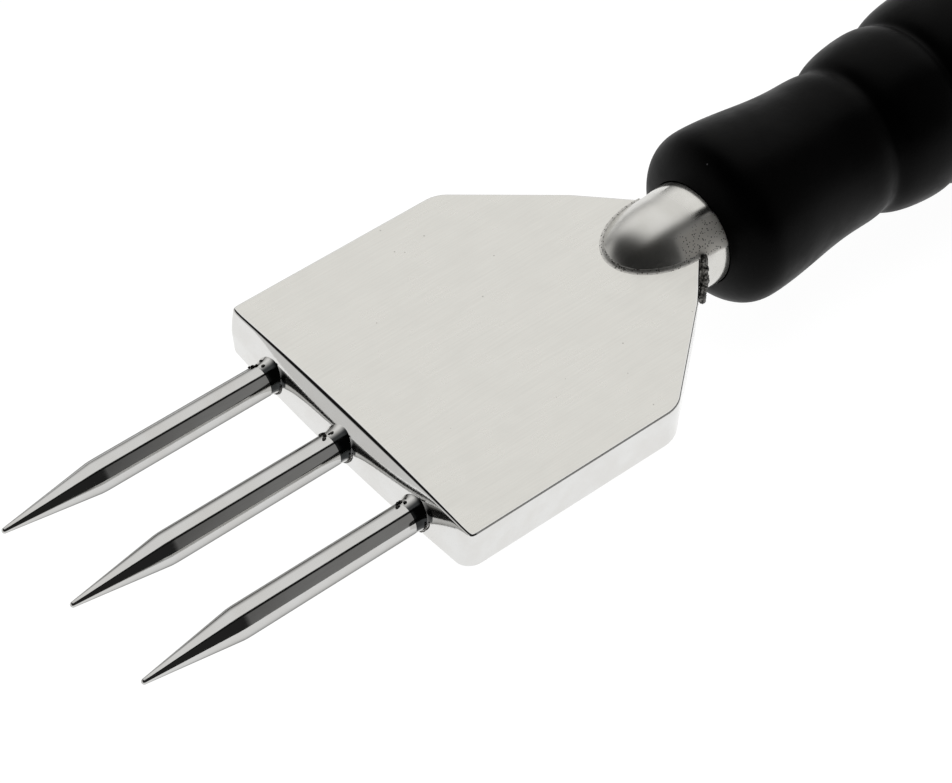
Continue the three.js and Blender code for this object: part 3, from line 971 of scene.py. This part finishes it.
def black_plastic(name, base, roughness, shine, dusty):
    """Moulded black, soft or hard, with a share of dust specks."""
    material, tree, shader, place = new_finish(name, 0.0, roughness)
    grain = place_effect(tree, grain_group, place, Lines=1400.0, Run=1400.0)
    dust = place_effect(tree, pit_group, place, Scale=520.0, Size=0.09, Share=dusty)
    colour = blend(tree, ramp(tree, grain.outputs["Cloud"], 0.35, 0.65),
                   (base * 0.8, base * 0.8, base * 0.8), (base * 1.15, base * 1.15, base * 1.2))
    colour = blend(tree, dust.outputs["Marks"], colour, (0.05, 0.05, 0.052))
    shader.inputs["Specular IOR Level"].default_value = shine
    tree.links.new(colour, shader.inputs["Base Color"])
    tree.links.new(ramp(tree, grain.outputs["Cloud"], 0.3, 0.7, roughness - 0.04,
                        roughness + 0.06), shader.inputs["Roughness"])
    raise_surface(tree, shader, grain.outputs["Grain"], 0.012 * MM)
    return material


def wear(piece, material):
    """Gives a piece its finish and fixes it to the tool."""
    piece.data.materials.clear()
    piece.data.materials.append(material)
    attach(piece, "root")


# ---- Studio ----------------------------------------------------------------------------

def camera():
    """The view from in front of the tines and to one side, looking down on the broad face."""
    right = Vector((-0.76845464, 0.6392674, 0.02854211))
    down = Vector((0.46260167, 0.58579881, -0.66546183))
    forward = Vector((-0.44212799, -0.49817361, -0.74588598))
    eye = (0.20756, 0.18401, 0.28494)
    turned = Matrix((right, -down, -forward)).transposed().to_4x4()
    data = bpy.data.cameras.new("view")
    data.sensor_fit = "HORIZONTAL"
    data.sensor_width = 36
    data.lens = 115.73
    data.clip_start = 0.01
    data.clip_end = 20
    view = bpy.data.objects.new("view", data)
    view.matrix_world = Matrix.Translation(eye) @ turned
    bpy.context.scene.collection.objects.link(view)
    bpy.context.scene.camera = view


def surroundings():
    """A bright screen on one side, a dim room on the other, a low glow ahead, dark gaps."""
    world = bpy.data.worlds.new("studio")
    world.use_nodes = True
    bpy.context.scene.world = world
    tree = world.node_tree
    direction = tree.nodes.new("ShaderNodeTexCoord").outputs["Generated"]
    x, y, z = put(tree, "ShaderNodeSeparateXYZ", Vector=direction).outputs
    # Every part is placed by where its direction points: along x and y, and up z. The screen
    # ends at a slanted edge that leans over the tool.
    slant = maths(tree, "SUBTRACT", y, product(tree, z, 0.17))
    screen = product(tree, ramp(tree, slant, -0.15, -0.07, 1.0, 0.0),
                     ramp(tree, x, -0.05, 0.22, 1.0, 0.0),
                     ramp(tree, z, 0.02, 0.5, 0.45, 1.0),       # dimmer low down
                     ramp(tree, z, 0.0, 0.08))                  # and dark below the horizon
    room = product(tree, ramp(tree, slant, 0.1, 0.16, 0.0, 0.25),
                   ramp(tree, x, -0.38, -0.26, 1.0, 0.06))
    low_glow = product(tree, ramp(tree, z, 0.3, 0.55, 0.7, 0.0),
                       ramp(tree, x, 0.1, 0.35), ramp(tree, y, -0.15, 0.1, 1.0, 0.0))
    gaps = 0.008                     # what little light the dark gaps give
    total = added(tree, screen, room, low_glow, gaps)
    background = tree.nodes["Background"]
    tree.links.new(total, background.inputs["Strength"])
    background.inputs["Color"].default_value = (1.0, 0.995, 0.985, 1)


def lamp(name, place, target, size, power):
    """A round lamp that lights the pieces and isn't seen in the steel."""
    data = bpy.data.lights.new(name, "AREA")
    data.shape = "DISK"
    data.size = size
    data.energy = power
    light = bpy.data.objects.new(name, data)
    light.location = place
    light.rotation_euler = (Vector(target) - Vector(place)).to_track_quat("-Z", "Y").to_euler()
    light.visible_glossy = False
    bpy.context.scene.collection.objects.link(light)


def floor():
    """White paper under the tool. It glows by itself, so that shadows on it stay faint."""
    glow = 0.97
    clear_selection()
    bpy.ops.mesh.primitive_circle_add(
        vertices=96, radius=4, fill_type="NGON", location=(0, 0, 0))
    piece = start_editing("floor")
    bpy.ops.object.mode_set(mode="OBJECT")
    material, tree, shader, place = new_finish("white paper", 0.0, 0.9)
    fibres = put(tree, "ShaderNodeTexNoise", Vector=place, Scale=900.0, Detail=3.0)
    colour = blend(tree, fibres.outputs[0], (0.09, 0.09, 0.09), (0.11, 0.11, 0.11))
    tree.links.new(colour, shader.inputs["Base Color"])
    shader.inputs["Emission Color"].default_value = (1, 1, 1, 1)
    shader.inputs["Emission Strength"].default_value = glow
    piece.data.materials.append(material)
    clear_selection()


# ---- Assembly --------------------------------------------------------------------------

bpy.context.scene.view_settings.view_transform = "Standard"
camera()
surroundings()
lamp("overhead", (-0.3, -0.2, 1.6), (0, 0, 0), 1.6, 14)
floor()

satin = satin_steel()
tine_steel = bright_steel("drawn tine steel", 0.6, 0.07, edge=0.3)
polished = bright_steel("polished edge steel", 0.725, 0.08)
roots = root_steel()
turned = bar_steel()
seam = pitted_steel()
residue_and_shade = weld_residue_and_shade()
rubber = black_plastic("soft black grip", 0.0002, 0.4, 0.05, 0.01)
hard_black = black_plastic("hard black plastic", 0.004, 0.36, 0.3, 0.01)

plate = head()
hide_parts("head_plate")
wear(plate, satin)
plate.data.materials.append(polished)       # the front, the sides and their rounded edges
nearly_upward = 0.999
for face in plate.data.polygons:
    face.material_index = 0 if abs(face.normal.z) > nearly_upward else 1
pattern = tine_pattern()
for side, seed in (("left", 3), ("middle", 4), ("right", 5)):
    wear(tine("tine_" + side, pattern), tine_steel)
    wear(root_fillet("weld_" + side), roots)
    wear(weld_spatter("weld_" + side, seed), residue_and_shade)
bpy.data.meshes.remove(pattern.data)
# Painted shade beside the neck, in the dark weld finish.
wear(shoulder_shade_beads(9), residue_and_shade)
wear(bar(), turned)
wear(nose_fillet("upper_fillet", 1), seam)
wear(nose_fillet("under_fillet", -1), seam)
wear(soft_grip(), rubber)
wear(core(), hard_black)
wear(end_cap(), hard_black)
plated = zinc()
for name in ("washer", "lock_nut"):
    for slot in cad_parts[name].material_slots:
        slot.material = plated
